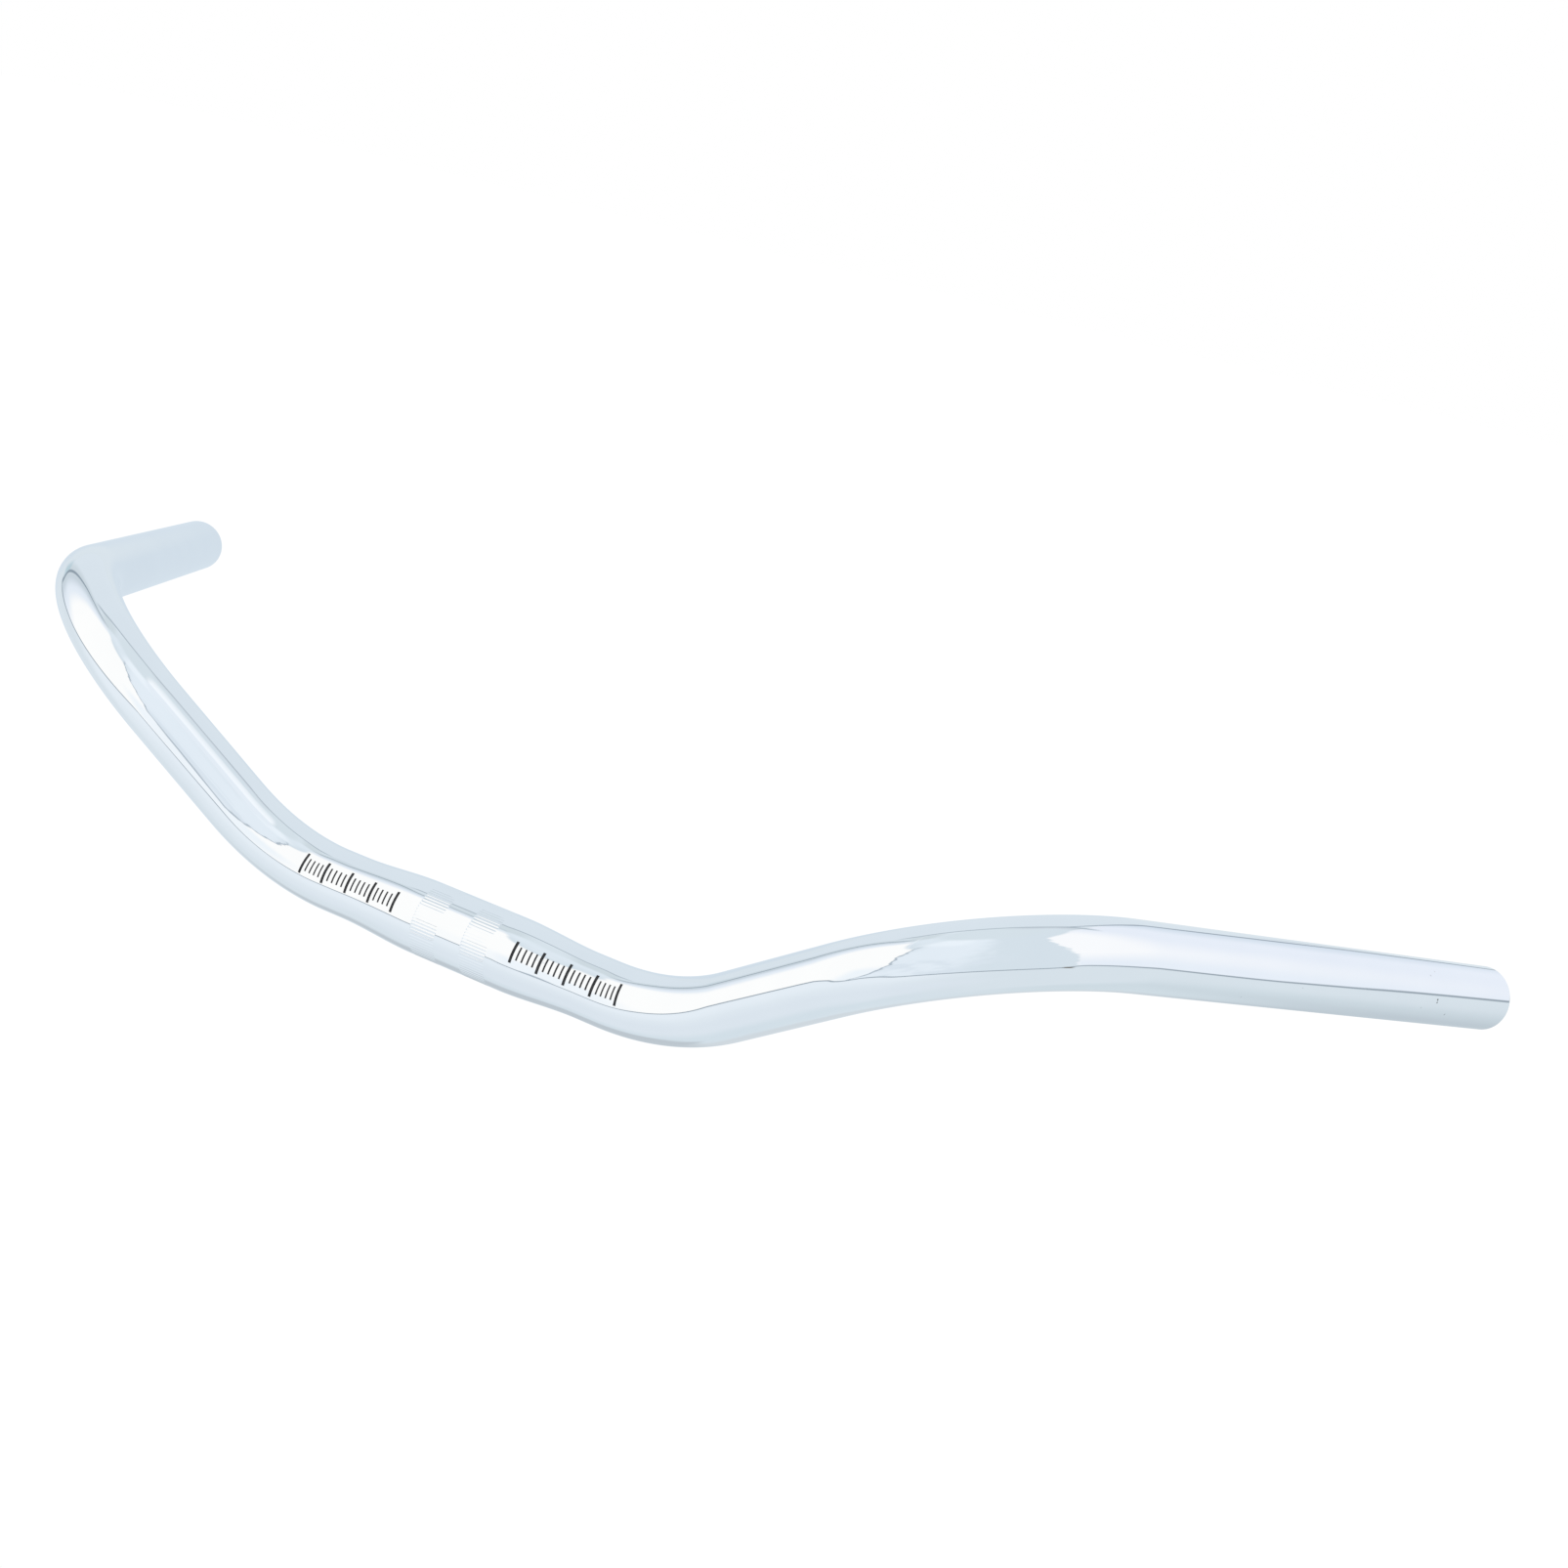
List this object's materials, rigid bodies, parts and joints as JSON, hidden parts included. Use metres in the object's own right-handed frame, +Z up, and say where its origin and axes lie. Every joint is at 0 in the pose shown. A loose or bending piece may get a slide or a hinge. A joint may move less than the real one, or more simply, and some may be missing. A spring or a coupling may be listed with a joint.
{
  "type": "swept-back bicycle handlebar",
  "caption": "Chromed steel city bicycle handlebar, one bent tube that rises from a knurled stem clamp and sweeps back into two straight grips.",
  "frame": {"origin": "centre of the stem clamp, on the tube's axis", "axes": "+X along the clamp towards one grip, +Y forward in the riding direction, +Z up; the grips sweep back towards -Y and slope 9 degrees down"},
  "size_m": [0.6116, 0.2127, 0.0871],
  "materials": {
    "chrome_plate": "mirror-bright chrome plating on steel"
  },
  "bodies": {
    "root": {"handlebar": "chrome_plate"}
  },
  "joints": []
}
